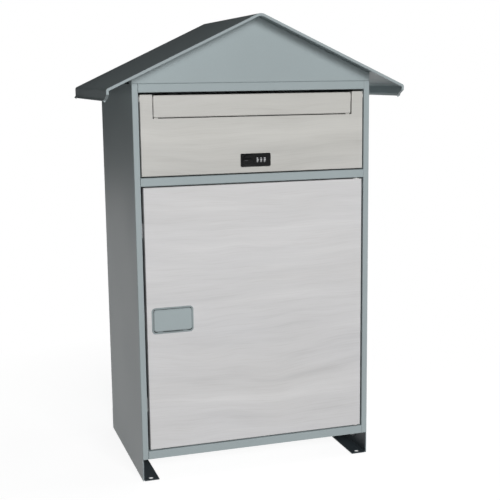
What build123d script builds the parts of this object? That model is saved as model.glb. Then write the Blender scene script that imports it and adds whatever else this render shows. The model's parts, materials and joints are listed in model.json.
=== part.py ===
"""Free-standing steel parcel drop box with a gabled roof, a letter compartment and a parcel compartment.

Millimetres, +Z up, front towards -Y. The origin is on the ground, under the middle of the roof's outline.
"""

import os
from math import cos, radians, sin, tan

from build123d import *

# ---- Driving dimensions ----
body_width = 500.0
body_depth = 350.0
body_height = 809.0  # ground to the top of the front frame
front_overhang = 44.0  # roof ahead of the front frame
rear_overhang = 6.0
eave_overhang = 57.0  # roof beyond each side wall
roof_pitch = 25.0  # degrees
gable_shoulder = 16.4  # height of the gable's short upright edges

sheet = 1.2  # steel sheet
bend = 2.0  # outside radius of a bend
fit = 0.3  # clearance between pieces that are joined

foot_height = 47.0
rail_face = 17.0
stile_face = 12.5
jamb_depth = 30.0
rear_flange = 20.0
parcel_opening = 545.0  # height of the parcel door's opening

door_depth = 15.0  # thickness of a folded door
door_return = 12.0  # width of the lip folded in behind a door
parcel_gap_latch = 4.5
parcel_gap_hinge = 3.5
parcel_gap_ends = 2.5
letter_gap_sides = 2.5
letter_gap_bottom = 2.5
letter_gap_top = 4.0

flap_width = 417.0
flap_height = 43.5
flap_gap = 1.6

# ---- Frame levels and planes that follow ----
front = front_overhang - (front_overhang + body_depth + rear_overhang) / 2
back = front + body_depth
half = body_width / 2
opening_half = half - stile_face
sill = foot_height + rail_face
middle_low = sill + parcel_opening
middle_high = middle_low + rail_face
top_low = body_height - rail_face
inner_half = half - sheet - fit  # pieces that reach the side walls
between_jambs = opening_half - fit

nodes = []


def finish(builder, name):
    """Labels a finished piece and keeps it for export."""
    builder.part.label = name
    nodes.append(builder.part)


def bent_sheet(plane, points, radius=bend, thickness=sheet, side=Side.RIGHT):
    """Section of a sheet bent along points, with its thickness on one side of the line."""
    with BuildSketch(plane) as section:
        with BuildLine():
            FilletPolyline(*points, radius=radius)
            offset(amount=thickness, side=side)
        make_face()
    return section.sketch


def facing(x, y, z, normal):
    """Plane at a point whose normal is one of the row's axes."""
    return Plane(origin=(x, y, z), z_dir=normal)


def across(x=0.0):
    """Plane that sees the box's section from the side: its x is Y and its y is Z."""
    return Plane.YZ.offset(x)


def face_on(y):
    """Plane that sees the box from the front: its x is X, its y is Z and its normal is -Y."""
    return Plane.XZ.offset(-y)


# ---- Side walls ----
rod_setback = 7.0  # letter door's hinge rod behind the front
rod_drop = 9.0  # and below the letter door's top edge
rod_radius = 2.5
letter_low = middle_high + letter_gap_bottom
letter_high = top_low - letter_gap_top
rod_y = front + rod_setback
rod_z = letter_high - rod_drop

with BuildPart() as left_side_panel:
    side_line = [
        (-opening_half, front + jamb_depth),
        (-opening_half, front),
        (-half, front),
        (-half, back),
        (-half + rear_flange, back),
    ]
    section = bent_sheet(Plane.XY.offset(foot_height), side_line)
    extrude(section, amount=body_height - foot_height)
    with BuildSketch(Plane.XY):
        with Locations((-half, front + bend)):
            Rectangle(sheet, body_depth - bend, align=(Align.MIN, Align.MIN))
    extrude(amount=foot_height)
    with Locations(facing(-opening_half, rod_y, rod_z, (1, 0, 0))):
        Hole(rod_radius + 0.1, depth=2 * sheet)
finish(left_side_panel, "left_side_panel")

with BuildPart() as right_side_panel:
    mirror(left_side_panel.part, about=Plane.YZ)
finish(right_side_panel, "right_side_panel")

with BuildPart() as back_panel:
    with BuildSketch(face_on(back - sheet)):
        with Locations((0, (foot_height + body_height) / 2)):
            Rectangle(2 * (inner_half - bend), body_height - foot_height)
    extrude(amount=sheet)
finish(back_panel, "back_panel")

# ---- Floor, shelf, rails and ceiling ----
pin_radius = 3.0
pin_inset = 10.0  # parcel door's pivot from the door's hinge edge
pin_setback = door_depth / 2 - 0.5
pin_x = opening_half - parcel_gap_hinge - pin_inset
pin_y = front + pin_setback
panel_back = back - 2 * sheet - fit  # ahead of the back panel
wide_front = front + jamb_depth + fit  # behind the jambs
flange_reach = 40.0  # rail flanges that carry the shelf and the ceiling
cam_flange_reach = 18.0
bolt_x = -200.0
bolt_y = front + 24.0
bolt_radius = 4.0

with BuildPart() as floor_pan:
    with BuildSketch(Plane.XY.offset(foot_height)):
        with Locations((0, front)):
            Rectangle(2 * between_jambs, jamb_depth + 2 * fit, align=(Align.CENTER, Align.MIN))
        with Locations((0, wide_front)):
            Rectangle(2 * inner_half, panel_back - wide_front, align=(Align.CENTER, Align.MIN))
    extrude(amount=rail_face)
    sill_edge = floor_pan.edges().filter_by(Axis.X).group_by(Axis.Y)[0].sort_by(Axis.Z)[-1]
    fillet(sill_edge, radius=bend)
    underside = floor_pan.faces().filter_by(Axis.Z).sort_by(Axis.Z)[0]
    offset(amount=-sheet, openings=underside)
    with Locations(facing(pin_x, pin_y, sill, (0, 0, 1))):
        Hole(pin_radius, depth=2 * sheet)
finish(floor_pan, "floor_pan")

with BuildPart() as middle_rail:
    cam_flange_end = middle_low + 4.0
    rail_line = [
        (front + flange_reach, middle_low),
        (front, middle_low),
        (front, middle_high),
        (front + cam_flange_reach, middle_high),
        (front + cam_flange_reach, cam_flange_end),
    ]
    rail_section = bent_sheet(across(-between_jambs), rail_line, side=Side.LEFT)
    extrude(rail_section, amount=2 * between_jambs)
    with Locations(facing(pin_x, pin_y, middle_low + sheet, (0, 0, 1))):
        Hole(pin_radius, depth=2 * sheet)
    with Locations(facing(bolt_x, bolt_y, middle_low + sheet, (0, 0, 1))):
        Hole(bolt_radius + 0.5, depth=2 * sheet)
finish(middle_rail, "middle_rail")

shelf_upstand = 14.0
shelf_level = middle_low + sheet  # underside of the shelf
with BuildPart() as shelf:
    with BuildSketch(Plane.XY.offset(shelf_level)):
        with Locations((0, wide_front)):
            Rectangle(2 * inner_half, panel_back - wide_front, align=(Align.CENTER, Align.MIN))
    extrude(amount=shelf_upstand)
    open_top = shelf.faces().sort_by(Axis.Z)[-1]
    open_front = shelf.faces().sort_by(Axis.Y)[0]
    offset(amount=-sheet, openings=[open_top, open_front])
finish(shelf, "shelf")

screw_radius = 2.5
roof_screw_x = 150.0
front_screw_y = front + 16.0
rear_screw_y = back - 15.0

with BuildPart() as top_rail:
    rail_line = [
        (front + cam_flange_reach, top_low),
        (front, top_low),
        (front, body_height),
        (front + flange_reach, body_height),
    ]
    extrude(bent_sheet(across(-between_jambs), rail_line), amount=2 * between_jambs)
    for x in (-roof_screw_x, roof_screw_x):
        with Locations(facing(x, front_screw_y, body_height, (0, 0, 1))):
            Hole(screw_radius, depth=2 * sheet)
finish(top_rail, "top_rail")

with BuildPart() as ceiling_panel:
    ceiling_top = body_height - sheet
    with BuildSketch(Plane.XY.offset(ceiling_top - shelf_upstand)):
        with Locations((0, wide_front)):
            Rectangle(2 * inner_half, panel_back - wide_front, align=(Align.CENTER, Align.MIN))
    extrude(amount=shelf_upstand)
    open_bottom = ceiling_panel.faces().sort_by(Axis.Z)[0]
    open_front = ceiling_panel.faces().sort_by(Axis.Y)[0]
    offset(amount=-sheet, openings=[open_bottom, open_front])
    for x in (-roof_screw_x, roof_screw_x):
        with Locations(facing(x, rear_screw_y, ceiling_top, (0, 0, 1))):
            Hole(screw_radius, depth=2 * sheet)
finish(ceiling_panel, "ceiling_panel")

# ---- Gables and roof ----
slope = tan(radians(roof_pitch))
ridge_radius = 18.0
gable_flange = 25.0
underside_apex = body_height + gable_shoulder + half * slope
roof_rise = sheet / cos(radians(roof_pitch))  # sheet measured upright


def gable(y_plane, forward, screw_y):
    """Gable end: a triangular face with flanges folded back along every edge."""
    seat = fit / 2  # the roof rests this far above the flanges
    outline = [
        (-half, body_height),
        (half, body_height),
        (half, body_height + gable_shoulder - seat),
        (0, underside_apex - seat),
        (-half, body_height + gable_shoulder - seat),
    ]
    with BuildPart() as piece:
        with BuildSketch(y_plane):
            with BuildLine():
                Polyline(*outline, close=True)
            make_face()
            apex = vertices().sort_by(Axis.Y)[-1]
            fillet(apex, radius=ridge_radius)
        extrude(amount=-gable_flange * forward)
        outer_face = piece.faces().filter_by(Axis.Y).sort_by(Axis.Y)[0 if forward > 0 else -1]
        fillet(outer_face.edges(), radius=bend)
        open_side = piece.faces().filter_by(Axis.Y).sort_by(Axis.Y)[-1 if forward > 0 else 0]
        offset(amount=-sheet, openings=open_side)
        for x in (-roof_screw_x, roof_screw_x):
            with Locations(facing(x, screw_y, body_height + sheet, (0, 0, 1))):
                Hole(screw_radius, depth=2 * sheet)
    return piece


finish(gable(face_on(front), 1, front_screw_y), "front_gable")
finish(gable(face_on(back), -1, rear_screw_y), "rear_gable")

eave_half = half + eave_overhang
eave_top = underside_apex + roof_rise - eave_half * slope
lip_drop = 17.5  # upright part of the eave
kick_out = 3.0  # drip edge turned outwards below it
kick_drop = 4.5
edge_depth = 5.0  # depth of the return folded down round the roof's ends
eave_bend = 6.0
corner_run = 24.0  # corner cut off the front end of each eave lip
corner_rise = 12.0
roof_front = front - front_overhang
roof_length = front_overhang + body_depth + rear_overhang
lip_end = eave_top - lip_drop - kick_drop

roof_line = [
    (-eave_half - kick_out, lip_end),
    (-eave_half, eave_top - lip_drop),
    (-eave_half, eave_top),
    (0, underside_apex + roof_rise),
    (eave_half, eave_top),
    (eave_half, eave_top - lip_drop),
    (eave_half + kick_out, lip_end),
]
roof_bends = [bend, eave_bend, ridge_radius, eave_bend, bend]


def lip_corner(inset):
    """Wedge below the cut corner of the eave lips, moved back square to the cut by inset."""
    cut_length = (corner_run**2 + corner_rise**2) ** 0.5
    run = corner_run + inset * cut_length / corner_rise
    rise = corner_rise + inset * cut_length / corner_run
    with BuildSketch(across(-body_width)) as wedge:
        with BuildLine():
            Polyline(
                (roof_front, lip_end + rise),
                (roof_front + run, lip_end),
                (roof_front + run, lip_end - rise),
                (roof_front - run, lip_end - rise),
                (roof_front - run, lip_end + rise),
                close=True,
            )
        make_face()
    return wedge.sketch


with BuildPart() as roof_core:
    core_plane = face_on(roof_front + sheet)
    extrude(bent_sheet(core_plane, roof_line, roof_bends, edge_depth), amount=-(roof_length - 2 * sheet))
    extrude(
        bent_sheet(core_plane, roof_line, roof_bends, sheet),
        amount=-(roof_length - 2 * sheet),
        mode=Mode.SUBTRACT,
    )
    extrude(lip_corner(sheet), amount=2 * body_width, mode=Mode.SUBTRACT)

with BuildPart() as roof:
    roof_section = bent_sheet(face_on(roof_front), roof_line, roof_bends, edge_depth)
    extrude(roof_section, amount=-roof_length)
    extrude(lip_corner(0), amount=2 * body_width, mode=Mode.SUBTRACT)
    add(roof_core.part, mode=Mode.SUBTRACT)
finish(roof, "roof")

# ---- Feet ----
foot_sheet = 2.0
foot_reach = 34.0  # from the side wall's outer face to the flange's edge
foot_bend = 4.0
foot_leg = 43.0
foot_hole_radius = 5.0
foot_hole_inset = 18.5  # from the side wall's outer face
foot_hole_ends = 13.0  # from the body's front and back
stud_radius = 2.5
stud_height = 24.0
stud_ys = [front + 60.0, (front + back) / 2, back - 60.0]
leg_face = half - sheet - foot_sheet  # inner face of the angle's upright leg

with BuildPart() as left_foot:
    foot_line = [(-half + sheet, foot_leg), (-half + sheet, 0), (-half + foot_reach, 0)]
    foot_section = bent_sheet(face_on(front + bend), foot_line, foot_bend, foot_sheet, Side.LEFT)
    extrude(foot_section, amount=-(body_depth - 2 * bend))
    for y in (front + foot_hole_ends, back - foot_hole_ends):
        with Locations(facing(-half + foot_hole_inset, y, foot_sheet, (0, 0, 1))):
            Hole(foot_hole_radius, depth=2 * foot_sheet)
    for y in stud_ys:
        with Locations(facing(-leg_face, y, stud_height, (1, 0, 0))):
            Hole(stud_radius + fit, depth=foot_sheet)
finish(left_foot, "left_foot")

with BuildPart() as right_foot:
    mirror(left_foot.part, about=Plane.YZ)
finish(right_foot, "right_foot")

stud_length = 11.0
nut_height = 4.0
nut_flats = 8.0
stud_points = [(y, stud_height) for y in stud_ys]
with BuildPart() as foot_studs:
    with BuildSketch(across(-half + sheet)):
        with Locations(*stud_points):
            Circle(stud_radius)
    extrude(amount=stud_length)
    mirror(about=Plane.YZ)
finish(foot_studs, "foot_studs")

with BuildPart() as foot_nuts:
    with BuildSketch(across(-leg_face)):
        with Locations(*stud_points):
            RegularPolygon(nut_flats / 2, 6, major_radius=False)
            Circle(stud_radius, mode=Mode.SUBTRACT)
    extrude(amount=nut_height)
    mirror(about=Plane.YZ)
finish(foot_nuts, "foot_nuts")

# ---- Fasteners of the roof and the back ----
screw_head_radius = 4.5
screw_head = 2.8
screw_length = 9.0
front_screws = [(x, front_screw_y) for x in (-roof_screw_x, roof_screw_x)]
rear_screws = [(x, rear_screw_y) for x in (-roof_screw_x, roof_screw_x)]
front_clamp = body_height - sheet  # underside of the top rail's flange
rear_clamp = ceiling_top - sheet  # underside of the ceiling

with BuildPart() as roof_screws:
    for level, places in ((front_clamp, front_screws), (rear_clamp, rear_screws)):
        with BuildSketch(Plane.XY.offset(level - screw_head)):
            with Locations(*places):
                Circle(screw_head_radius)
        extrude(amount=screw_head)
        with BuildSketch(Plane.XY.offset(level)):
            with Locations(*places):
                Circle(screw_radius)
        extrude(amount=screw_length)
    fillet(roof_screws.edges().filter_by(GeomType.CIRCLE).group_by(Axis.Z)[0], radius=1.0)
finish(roof_screws, "roof_screws")

with BuildPart() as roof_nuts:
    with BuildSketch(Plane.XY.offset(body_height + sheet)):
        with Locations(*front_screws, *rear_screws):
            RegularPolygon(nut_flats / 2, 6, major_radius=False)
            Circle(screw_radius, mode=Mode.SUBTRACT)
    extrude(amount=nut_height)
finish(roof_nuts, "roof_nuts")

rivet_radius = 1.6
rivet_head_radius = 3.5
rivet_head = 1.4
rivet_rows = [sill + 20.0 + i * (body_height - sill - 50.0) / 4 for i in range(5)]
rivet_points = [(s * (half - rear_flange / 2), z) for s in (-1, 1) for z in rivet_rows]
with BuildPart() as back_panel_rivets:
    with BuildSketch(face_on(back + rivet_head)):
        with Locations(*rivet_points):
            Circle(rivet_head_radius)
    extrude(amount=rivet_head)
    fillet(back_panel_rivets.edges().filter_by(GeomType.CIRCLE).group_by(Axis.Y)[-1], radius=1.2)
finish(back_panel_rivets, "back_panel_rivets")

# ---- Door stops and magnetic catch on the jambs ----
stop_sheet = 1.5
stop_face = front + door_depth + 2.0  # front of a stop's arm
stop_height = 30.0
stop_reach = 15.0
bumper_radius = 4.0
letter_stop_z = letter_low + 17.0
parcel_stop_zs = [sill + 95.0, middle_low - 90.0]
stop_places = [(-1, z) for z in parcel_stop_zs] + [(-1, letter_stop_z), (1, letter_stop_z)]

with BuildPart() as door_stops:
    for side, z in stop_places:
        stop_line = [
            (side * opening_half, front + jamb_depth),
            (side * opening_half, stop_face),
            (side * (opening_half - stop_reach), stop_face),
        ]
        inner = Side.LEFT if side < 0 else Side.RIGHT
        stop_section = bent_sheet(Plane.XY.offset(z - stop_height / 2), stop_line, 1.8, stop_sheet, inner)
        extrude(stop_section, amount=stop_height)
finish(door_stops, "door_stops")

with BuildPart() as door_bumpers:
    bumper_depth = stop_face - (front + door_depth + 0.25)
    bumper_inset = stile_face + stop_reach - bumper_radius - 2.0
    with BuildSketch(face_on(stop_face)):
        with Locations(*[(side * (half - bumper_inset), z) for side, z in stop_places]):
            Circle(bumper_radius)
    extrude(amount=bumper_depth)
    fillet(door_bumpers.edges().filter_by(GeomType.CIRCLE).group_by(Axis.Y)[0], radius=0.7)
finish(door_bumpers, "door_bumpers")

handle_x = -180.0
handle_z = 337.0
catch_width = 12.0
catch_depth = 14.0
catch_height = 46.0
catch_face = front + door_depth + 0.4
catch_screw_radius = 1.75
catch_screw_head = 3.25
catch_mid_y = catch_face + catch_depth / 2 + 1.5
catch_screw_zs = [handle_z - 17.0, handle_z + 17.0]

with BuildPart() as magnetic_catch:
    with BuildSketch(Plane.XY.offset(handle_z - catch_height / 2)):
        with Locations((-opening_half, catch_face)):
            Rectangle(catch_width, catch_depth, align=(Align.MIN, Align.MIN))
    extrude(amount=catch_height)
    fillet(magnetic_catch.edges().filter_by(Axis.Z).group_by(Axis.X)[-1], radius=1.5)
    magnet_box = (6.0, 4.0, 26.0)
    with Locations((-opening_half + catch_width / 2, catch_face, handle_z)):
        Box(*magnet_box, align=(Align.CENTER, Align.MIN, Align.CENTER), mode=Mode.SUBTRACT)
    for z in catch_screw_zs:
        with Locations(facing(-opening_half + catch_width, catch_mid_y, z, (1, 0, 0))):
            CounterSinkHole(catch_screw_radius, catch_screw_head, depth=catch_width)
finish(magnetic_catch, "magnetic_catch")

with BuildPart() as catch_magnet:
    with Locations((-opening_half + catch_width / 2, catch_face, handle_z)):
        Box(*magnet_box, align=(Align.CENTER, Align.MIN, Align.CENTER))
finish(catch_magnet, "catch_magnet")

with BuildPart() as catch_screws:
    head_depth = catch_screw_head - catch_screw_radius
    for z in catch_screw_zs:
        with Locations(facing(-opening_half + catch_width - head_depth, catch_mid_y, z, (1, 0, 0))):
            Cone(catch_screw_radius, catch_screw_head, head_depth, align=(Align.CENTER, Align.CENTER, Align.MIN))
        with Locations(facing(-opening_half, catch_mid_y, z, (1, 0, 0))):
            Cylinder(
                catch_screw_radius,
                catch_width - head_depth,
                align=(Align.CENTER, Align.CENTER, Align.MIN),
            )
finish(catch_screws, "catch_screws")

# ---- Parcel door and its pivots ----
parcel_left = -opening_half + parcel_gap_latch
parcel_right = opening_half - parcel_gap_hinge
parcel_low = sill + parcel_gap_ends
parcel_high = middle_low - parcel_gap_ends
parcel_mid = (parcel_left + parcel_right) / 2
parcel_width = parcel_right - parcel_left
parcel_height = parcel_high - parcel_low
parcel_centre_z = (parcel_low + parcel_high) / 2
bush_wall = 1.45
bush_clearance = 0.05
bush_flange = 1.0

plate_width = 79.5  # handle plate
plate_height = 45.0
plate_radius = 6.0
plate_gap_side = 0.5
plate_gap_top = 1.3
plate_gap_bottom = 1.7
tray_wall = 1.2
tray_depth = door_depth - sheet - 0.8
bezel_rim = 3.0
bezel_proud = 1.0
recess_width = plate_width + 2 * plate_gap_side
recess_height = plate_height + plate_gap_top + plate_gap_bottom
recess_z = handle_z + (plate_gap_top - plate_gap_bottom) / 2
tray_width = recess_width + 2 * tray_wall
tray_height = recess_height + 2 * tray_wall
recess_radius = plate_radius - 1.0  # room for the plate's corners as it tips out

with BuildPart() as parcel_door_panel:
    with BuildSketch(face_on(front)):
        with Locations((parcel_mid, parcel_centre_z)):
            Rectangle(parcel_width, parcel_height)
    extrude(amount=-door_depth)
    fillet(parcel_door_panel.faces().sort_by(Axis.Y)[0].edges(), radius=bend)
    offset(amount=-sheet, openings=parcel_door_panel.faces().sort_by(Axis.Y)[-1])
    with BuildSketch(face_on(front + door_depth - sheet)):
        with Locations((parcel_mid, parcel_centre_z)):
            Rectangle(parcel_width, parcel_height)
            Rectangle(parcel_width - 2 * door_return, parcel_height - 2 * door_return, mode=Mode.SUBTRACT)
    extrude(amount=-sheet)
    with BuildSketch(face_on(front)):
        with Locations((handle_x, recess_z)):
            RectangleRounded(tray_width + 2 * fit, tray_height + 2 * fit, recess_radius)
    extrude(amount=-2 * sheet, mode=Mode.SUBTRACT)
    for z, normal in ((parcel_low, (0, 0, -1)), (parcel_high, (0, 0, 1))):
        with Locations(facing(pin_x, pin_y, z, normal)):
            Hole(pin_radius + bush_clearance + bush_wall, depth=2 * sheet)
finish(parcel_door_panel, "parcel_door_panel")

stiffener_gap = 1.5
with BuildPart() as parcel_door_stiffener:
    stiffener_low = parcel_low + door_return + stiffener_gap
    inner_skin = front + sheet
    crown = front + door_depth - 1.6
    hat_line = [(-35, inner_skin), (-20, inner_skin), (-20, crown), (20, crown), (20, inner_skin), (35, inner_skin)]
    hat = bent_sheet(Plane.XY.offset(stiffener_low), hat_line, bend, sheet, Side.LEFT)
    extrude(hat, amount=parcel_height - 2 * (door_return + stiffener_gap))
finish(parcel_door_stiffener, "parcel_door_stiffener")

bush_length = 6.5
with BuildPart() as parcel_door_bushes:
    for level, way in ((parcel_high, -1), (parcel_low, 1)):
        with BuildSketch(Plane.XY.offset(level)):
            with Locations((pin_x, pin_y)):
                Circle(pin_radius + bush_clearance + bush_wall)
                Circle(pin_radius + bush_clearance, mode=Mode.SUBTRACT)
        extrude(amount=way * bush_length)
        with BuildSketch(Plane.XY.offset(level)):
            with Locations((pin_x, pin_y)):
                Circle(2 * pin_radius)
                Circle(pin_radius + bush_clearance, mode=Mode.SUBTRACT)
        extrude(amount=-way * bush_flange)
finish(parcel_door_bushes, "parcel_door_bushes")

pin_reach = 9.0  # into the door, past its edge
pin_head_radius = pin_setback - sheet - 0.8  # clears the front wall of a rail
pin_head = 2.0
for pin_name, plate_face, way in (
    ("parcel_door_top_pin", middle_low + sheet, -1),
    ("parcel_door_bottom_pin", sill - sheet, 1),
):
    with BuildPart() as pivot_pin:
        with BuildSketch(Plane.XY.offset(plate_face)):
            with Locations((pin_x, pin_y)):
                Circle(pin_radius)
        extrude(amount=way * (sheet + parcel_gap_ends + pin_reach))
        tip = pivot_pin.edges().filter_by(GeomType.CIRCLE).sort_by(Axis.Z)[0 if way < 0 else -1]
        chamfer(tip, length=0.8)
        with BuildSketch(Plane.XY.offset(plate_face)):
            with Locations((pin_x, pin_y)):
                Circle(pin_head_radius)
        extrude(amount=-way * pin_head)
    finish(pivot_pin, pin_name)

with BuildPart() as thrust_washer:
    with BuildSketch(Plane.XY.offset(sill)):
        with Locations((pin_x, pin_y)):
            Circle(2 * pin_radius)
            Circle(pin_radius + bush_clearance, mode=Mode.SUBTRACT)
    extrude(amount=parcel_gap_ends - bush_flange - bush_clearance)
finish(thrust_washer, "thrust_washer")

# ---- Handle of the parcel door ----
plate_thickness = 4.0
plate_proud = 3.0
plate_face = front - plate_proud
plate_back = plate_face + plate_thickness
hinge_y = front + 1.5
hinge_z = handle_z + plate_height / 2 - 2.5
handle_pin_radius = 1.25
knuckle_radius = 2.7
knuckle_length = 14.0
knuckle_inset = 3.0  # from the plate's sides
handle_clearance = 0.05
spring_gap = 0.25
handle_wire = 0.8
coil_inner = handle_pin_radius + spring_gap
coil_length = 9.0
leg_offset = coil_inner + handle_wire / 2
spring_leg_x = handle_x + (coil_length - handle_wire) / 2
spring_leg_y = hinge_y + leg_offset
pin_length = recess_width + 1.6

with BuildPart() as handle_tray:
    with BuildSketch(face_on(front - bezel_proud)):
        with Locations((handle_x, recess_z)):
            RectangleRounded(recess_width + 2 * bezel_rim, recess_height + 2 * bezel_rim, recess_radius + bezel_rim)
    extrude(amount=-bezel_proud)
    fillet(handle_tray.faces().sort_by(Axis.Y)[0].edges(), radius=0.6)
    with BuildSketch(face_on(front)):
        with Locations((handle_x, recess_z)):
            RectangleRounded(tray_width, tray_height, recess_radius)
    extrude(amount=-tray_depth)
    with BuildSketch(face_on(front - bezel_proud)):
        with Locations((handle_x, recess_z)):
            RectangleRounded(recess_width, recess_height, recess_radius)
    extrude(amount=-(bezel_proud + tray_depth - tray_wall), mode=Mode.SUBTRACT)
    for side in (-1, 1):
        with Locations((handle_x + side * 26.0, plate_back + 0.1, recess_z - recess_height / 2)):
            Box(10.0, 2.0, 4.5, align=(Align.CENTER, Align.MIN, Align.MIN))
    with Locations(facing(handle_x + pin_length / 2, hinge_y, hinge_z, (1, 0, 0))):
        Hole(handle_pin_radius, depth=pin_length)
finish(handle_tray, "handle_tray")

with BuildPart() as handle_plate:
    with BuildSketch(face_on(plate_face)):
        with Locations((handle_x, handle_z)):
            RectangleRounded(plate_width, plate_height, plate_radius)
    extrude(amount=-plate_thickness)
    face_edges = handle_plate.faces().sort_by(Axis.Y)[0].edges()
    chamfer(face_edges, length=2.0)
    for side in (-1, 1):
        knuckle_x = handle_x + side * (plate_width / 2 - knuckle_inset - knuckle_length / 2)
        with Locations(facing(knuckle_x, hinge_y, hinge_z, (1, 0, 0))):
            Cylinder(knuckle_radius, knuckle_length)
    with Locations(facing(handle_x + pin_length / 2, hinge_y, hinge_z, (1, 0, 0))):
        Hole(handle_pin_radius + handle_clearance, depth=pin_length)
    with Locations(facing(handle_x, hinge_y, hinge_z, (1, 0, 0))):
        Cylinder(coil_inner + handle_wire + spring_gap, coil_length + 1.0, mode=Mode.SUBTRACT)
    # Pad that the spring's front leg presses on.
    with Locations((spring_leg_x, plate_back - 0.5, hinge_z - 9.0)):
        Box(3.0, spring_leg_y - handle_wire / 2 - plate_back + 0.5, 4.0, align=(Align.CENTER, Align.MIN, Align.CENTER))
finish(handle_plate, "handle_plate")

with BuildPart() as handle_pin:
    with Locations(facing(handle_x, hinge_y, hinge_z, (1, 0, 0))):
        Cylinder(handle_pin_radius, pin_length)
finish(handle_pin, "handle_pin")

with BuildPart() as handle_spring:
    with BuildSketch(across(handle_x - coil_length / 2)):
        with Locations((hinge_y, hinge_z)):
            Circle(coil_inner + handle_wire)
            Circle(coil_inner, mode=Mode.SUBTRACT)
    extrude(amount=coil_length)
    with Locations((spring_leg_x, spring_leg_y, hinge_z)):
        Cylinder(0.45 * handle_wire, 12.0, align=(Align.CENTER, Align.CENTER, Align.MAX))
    # The rear leg presses on the bottom of the tray.
    tray_floor = front + tray_depth - tray_wall
    with Locations(facing(2 * handle_x - spring_leg_x, tray_floor, hinge_z - leg_offset, (0, -1, 0))):
        Cylinder(0.45 * handle_wire, tray_floor - hinge_y, align=(Align.CENTER, Align.CENTER, Align.MIN))
finish(handle_spring, "handle_spring")

with BuildPart() as handle_clamp:
    clamp_rim = 6.0
    with BuildSketch(face_on(front + sheet)):
        with Locations((handle_x, recess_z)):
            Rectangle(tray_width + 2 * clamp_rim, tray_height + 2 * clamp_rim)
            RectangleRounded(tray_width + fit, tray_height + fit, recess_radius, mode=Mode.SUBTRACT)
    extrude(amount=-2.0)
finish(handle_clamp, "handle_clamp")

# ---- Drop bolt, worked from the letter compartment, that holds the parcel door ----
keeper_width = 30.0
keeper_sheet = 1.5
keeper_face = front + door_depth
keeper_low = parcel_high - door_return
bolt_tip = middle_low - 1.0  # lifted, just inside the rail
bolt_length = 62.0
guide_low = middle_low + sheet
guide_height = 28.0

with BuildPart() as bolt_keeper:
    keeper_line = [
        (keeper_face, parcel_high - 1.0),
        (keeper_face, keeper_low),
        (bolt_y + 8.0, keeper_low),
    ]
    keeper_section = bent_sheet(across(bolt_x - keeper_width / 2), keeper_line, 2.2, keeper_sheet, Side.LEFT)
    extrude(keeper_section, amount=keeper_width)
    with Locations(facing(bolt_x, bolt_y, keeper_low + keeper_sheet, (0, 0, 1))):
        Hole(bolt_radius + 0.5, depth=2 * keeper_sheet)
finish(bolt_keeper, "bolt_keeper")

with BuildPart() as keeper_rivets:
    with BuildSketch(face_on(keeper_face + keeper_sheet + 1.0)):
        with Locations(*[(bolt_x + side * 9.0, keeper_low + 7.0) for side in (-1, 1)]):
            Circle(2.6)
    extrude(amount=1.0)
    fillet(keeper_rivets.edges().filter_by(GeomType.CIRCLE).group_by(Axis.Y)[-1], radius=0.8)
finish(keeper_rivets, "keeper_rivets")

with BuildPart() as bolt_guide:
    base_front = front + cam_flange_reach + 0.5
    base_depth = wide_front - 0.3 - base_front
    with BuildSketch(Plane.XY.offset(guide_low)):
        with Locations((bolt_x, base_front + base_depth / 2)):
            Rectangle(44.0, base_depth)
    extrude(amount=2.0)
    with BuildSketch(Plane.XY.offset(guide_low)):
        with Locations((bolt_x, bolt_y)):
            Circle(bolt_radius + 1.6)
    extrude(amount=guide_height)
    with Locations(facing(bolt_x, bolt_y, guide_low + guide_height, (0, 0, 1))):
        Hole(bolt_radius + bush_clearance, depth=guide_height + 1.0)
finish(bolt_guide, "bolt_guide")

with BuildPart() as guide_screws:
    with BuildSketch(Plane.XY.offset(guide_low + 2.0)):
        with Locations(*[(bolt_x + side * 16.0, bolt_y) for side in (-1, 1)]):
            Circle(3.2)
    extrude(amount=1.8)
    fillet(guide_screws.edges().filter_by(GeomType.CIRCLE).group_by(Axis.Z)[-1], radius=1.0)
finish(guide_screws, "guide_screws")

with BuildPart() as drop_bolt:
    with BuildSketch(Plane.XY.offset(bolt_tip)):
        with Locations((bolt_x, bolt_y)):
            Circle(bolt_radius)
    extrude(amount=bolt_length)
    chamfer(drop_bolt.edges().filter_by(GeomType.CIRCLE).sort_by(Axis.Z)[0], length=1.2)
finish(drop_bolt, "drop_bolt")

knob_height = 14.0
with BuildPart() as bolt_knob:
    with BuildSketch(Plane.XY.offset(bolt_tip + bolt_length - knob_height + 2.0)):
        with Locations((bolt_x, bolt_y)):
            Circle(9.0)
    extrude(amount=knob_height)
    fillet(bolt_knob.edges().filter_by(GeomType.CIRCLE), radius=2.5)
    with Locations(facing(bolt_x, bolt_y, bolt_tip + bolt_length, (0, 0, 1))):
        Hole(bolt_radius, depth=knob_height)
finish(bolt_knob, "bolt_knob")

# ---- Letter door, its hinge rod and its flap ----
letter_half = opening_half - letter_gap_sides
letter_height = letter_high - letter_low
letter_centre_z = (letter_low + letter_high) / 2
flap_high = letter_high - 1.5
flap_low = flap_high - flap_height
notch_low = flap_low - flap_gap
notch_half = flap_width / 2 + flap_gap
slot_lip = 12.0
lock_x = -0.5
lock_z = 654.2
lock_width = 63.0
lock_height = 26.5
lock_proud = 5.0
barrel_x = lock_x - 17.5
barrel_radius = 9.0
dial_radius = 6.5
dial_width = 5.0
dial_pitch = 7.65
dial_first_x = 2.0
dial_y = front - lock_proud + 5.0
dial_xs = [dial_first_x + i * dial_pitch for i in range(3)]
dial_shaft_radius = 1.5
pocket_radius = dial_radius + 0.45
dial_case_wall = 1.2
dial_case_width = dial_xs[-1] - dial_xs[0] + dial_width + 0.5 + 2 * dial_case_wall
dial_case_height = 2 * (pocket_radius + dial_case_wall)
dial_case_x = (dial_xs[0] + dial_xs[-1]) / 2
shaft_length = dial_case_width - 0.6
rod_bush_outer = 4.0
stop_tab_width = 8.0
stop_tab_height = 8.0
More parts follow.
